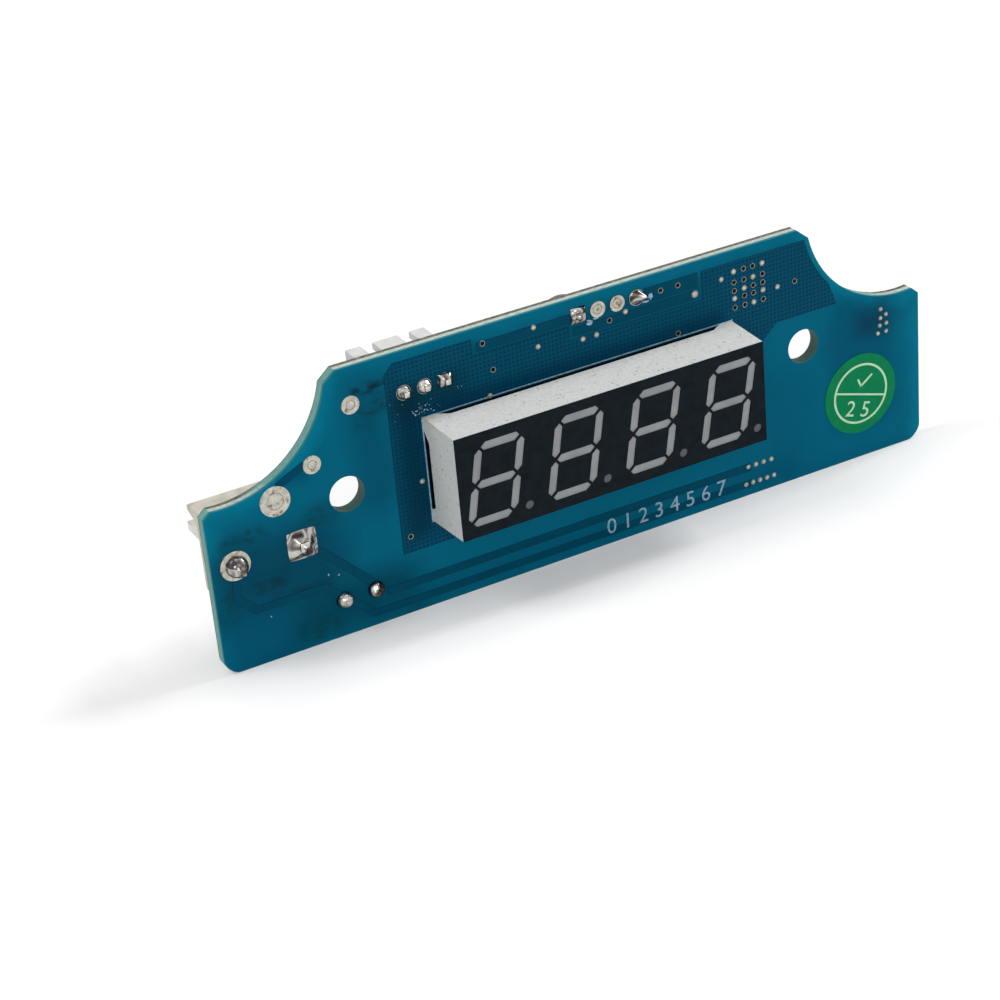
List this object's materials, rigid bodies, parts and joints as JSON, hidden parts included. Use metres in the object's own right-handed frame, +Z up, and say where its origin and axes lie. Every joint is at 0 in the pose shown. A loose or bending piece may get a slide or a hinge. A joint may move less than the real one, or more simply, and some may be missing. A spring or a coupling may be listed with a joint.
{
  "type": "digital rpm display",
  "caption": "Segment LED speed display on a shaped circuit board with concave upper corners, mounting holes and rear plug headers.",
  "frame": {"origin": "midway between the two mounting holes, on the front face of the circuit board", "axes": "+X along the board to the right as the digits are read, +Z up, digits face -Y, components behind the board on +Y"},
  "size_m": [0.0936, 0.02, 0.0318],
  "materials": {
    "solder_mask": "glossy blue lacquer over laminate and copper",
    "white_moulding": "fine matt",
    "black_print": "matt print",
    "clear_filling": "milky, unlit",
    "bare_laminate": "bare laminate",
    "light_source": "small polished chip",
    "tinned_pin": "tin plate over brass",
    "solder": "bright solder",
    "cream_moulding": "satin moulding",
    "header_white": "satin moulding",
    "can_metal": "drawn can",
    "can_sleeve": "shrunk film",
    "rubber_seal": "matt rubber",
    "steel_wire": "tinned wire",
    "black_moulding": "matt moulding",
    "resistor_glaze": "glazed",
    "ceramic_tan": "fired ceramic",
    "paper_green": "printed paper"
  },
  "bodies": {
    "root": {"circuit_board": "solder_mask", "display_housing": "white_moulding", "display_face": "black_print", "display_filling": "clear_filling", "led_board": "bare_laminate", "led_dies": "light_source", "display_pins_upper": "tinned_pin", "display_joints_upper": "solder", "display_pins_lower": "tinned_pin", "display_joints_lower": "solder", "power_header_shell": "cream_moulding", "power_pins": "tinned_pin", "power_joint_round": "solder", "power_joint_square": "solder", "signal_header_shell": "header_white", "signal_pins": "tinned_pin", "signal_joints": "solder", "program_joints": "solder", "spare_pads": "solder", "radial_capacitor_can": "can_metal", "radial_capacitor_sleeve": "can_sleeve", "radial_capacitor_seal": "rubber_seal", "radial_capacitor_leads": "steel_wire", "radial_joints": "solder", "surface_capacitor_can": "can_metal", "surface_capacitor_base": "black_moulding", "surface_capacitor_feet": "tinned_pin", "regulator_tab": "tinned_pin", "regulator_body": "black_moulding", "regulator_leads": "tinned_pin", "microcontroller": "black_moulding", "microcontroller_leads": "tinned_pin", "driver_chip": "black_moulding", "driver_chip_leads": "tinned_pin", "digit_transistors": "black_moulding", "transistor_leads": "tinned_pin", "segment_resistors": "resistor_glaze", "segment_resistors_ends": "solder", "chip_capacitors": "ceramic_tan", "chip_capacitors_ends": "solder", "input_diode": "black_moulding", "input_diode_straps": "tinned_pin", "inspection_sticker": "paper_green"}
  },
  "joints": []
}
